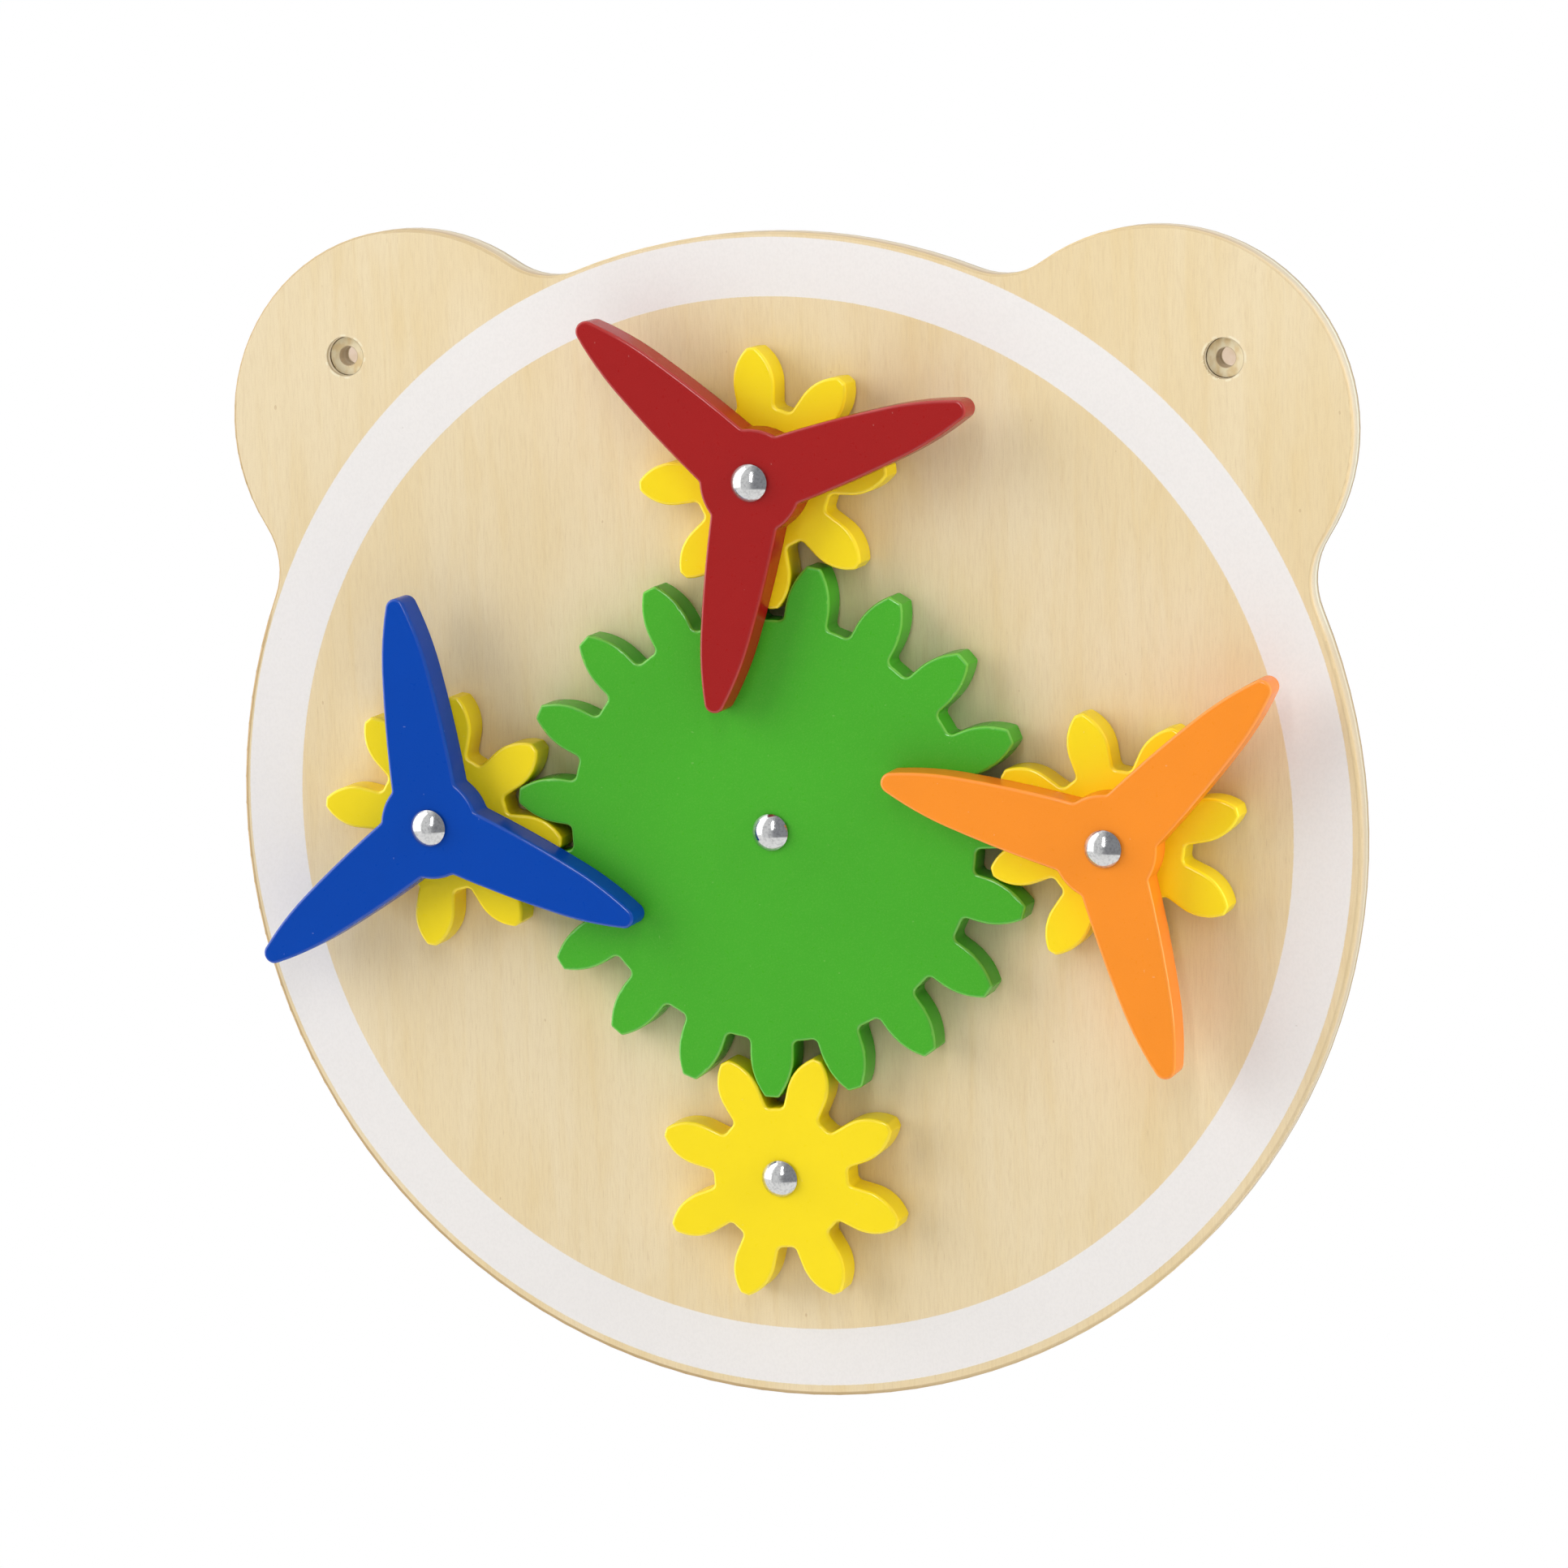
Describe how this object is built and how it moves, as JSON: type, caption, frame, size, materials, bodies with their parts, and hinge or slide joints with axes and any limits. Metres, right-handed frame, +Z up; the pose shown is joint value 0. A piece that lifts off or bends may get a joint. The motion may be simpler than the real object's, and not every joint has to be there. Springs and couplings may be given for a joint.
{
  "type": "gear activity board",
  "caption": "Round eared plywood wall board with a large toothed wheel turning small toothed pinions, some of which carry flat propellers.",
  "frame": {"origin": "on the wall face of the board, midway between the two hanging screw holes", "axes": "+Z up, +X to the right seen from the front, the front of the board faces -Y"},
  "size_m": [0.3344, 0.034, 0.3357],
  "materials": {
    "plywood": "clear matt lacquer on pale plywood, white printed ring",
    "green_paint": "satin green paint on wood",
    "yellow_paint": "satin yellow paint on wood",
    "red_paint": "satin red paint on wood",
    "blue_paint": "satin blue paint on wood",
    "orange_paint": "satin orange paint on wood",
    "polished_aluminium": "polished",
    "nylon": "natural white nylon",
    "zinc_steel": "bright zinc",
    "dowel_wood": "bare beech"
  },
  "bodies": {
    "root": {"panel": "plywood", "front_washers": "nylon", "rear_washers": "zinc_steel", "lock_nuts": "zinc_steel", "centre_axle": "polished_aluminium", "top_axle": "polished_aluminium", "left_axle": "polished_aluminium", "right_axle": "polished_aluminium", "bottom_axle": "polished_aluminium"},
    "wheel": {"drive_wheel": "green_paint", "centre_bush": "nylon"},
    "top_spinner": {"top_pinion": "yellow_paint", "top_bush": "nylon", "top_dowels": "dowel_wood", "red_propeller": "red_paint"},
    "left_spinner": {"left_pinion": "yellow_paint", "left_bush": "nylon", "left_dowels": "dowel_wood", "blue_propeller": "blue_paint"},
    "right_spinner": {"right_pinion": "yellow_paint", "right_bush": "nylon", "right_dowels": "dowel_wood", "orange_propeller": "orange_paint"},
    "bottom_pinion": {"bottom_pinion": "yellow_paint", "bottom_bush": "nylon"}
  },
  "joints": [
    {"name": "wheel_spin", "type": "hinge", "parent": "root", "child": "wheel", "pos_m": [-0.00045, -0.0095, -0.133], "axis": [0, -1, 0], "continuous": true},
    {"name": "top_spinner_spin", "type": "hinge", "parent": "root", "child": "top_spinner", "pos_m": [-0.00045, -0.0095, -0.033], "axis": [0, -1, 0], "continuous": true},
    {"name": "left_spinner_spin", "type": "hinge", "parent": "root", "child": "left_spinner", "pos_m": [-0.10045, -0.0095, -0.133], "axis": [0, -1, 0], "continuous": true},
    {"name": "right_spinner_spin", "type": "hinge", "parent": "root", "child": "right_spinner", "pos_m": [0.09955, -0.0095, -0.133], "axis": [0, -1, 0], "continuous": true},
    {"name": "bottom_pinion_spin", "type": "hinge", "parent": "root", "child": "bottom_pinion", "pos_m": [-0.00045, -0.0095, -0.233], "axis": [0, -1, 0], "continuous": true}
  ],
  "couplings": [
    {"joint": "top_spinner_spin", "follows": "wheel_spin", "ratio": -2.375},
    {"joint": "left_spinner_spin", "follows": "wheel_spin", "ratio": -2.375},
    {"joint": "right_spinner_spin", "follows": "wheel_spin", "ratio": -2.375},
    {"joint": "bottom_pinion_spin", "follows": "wheel_spin", "ratio": -2.375}
  ]
}
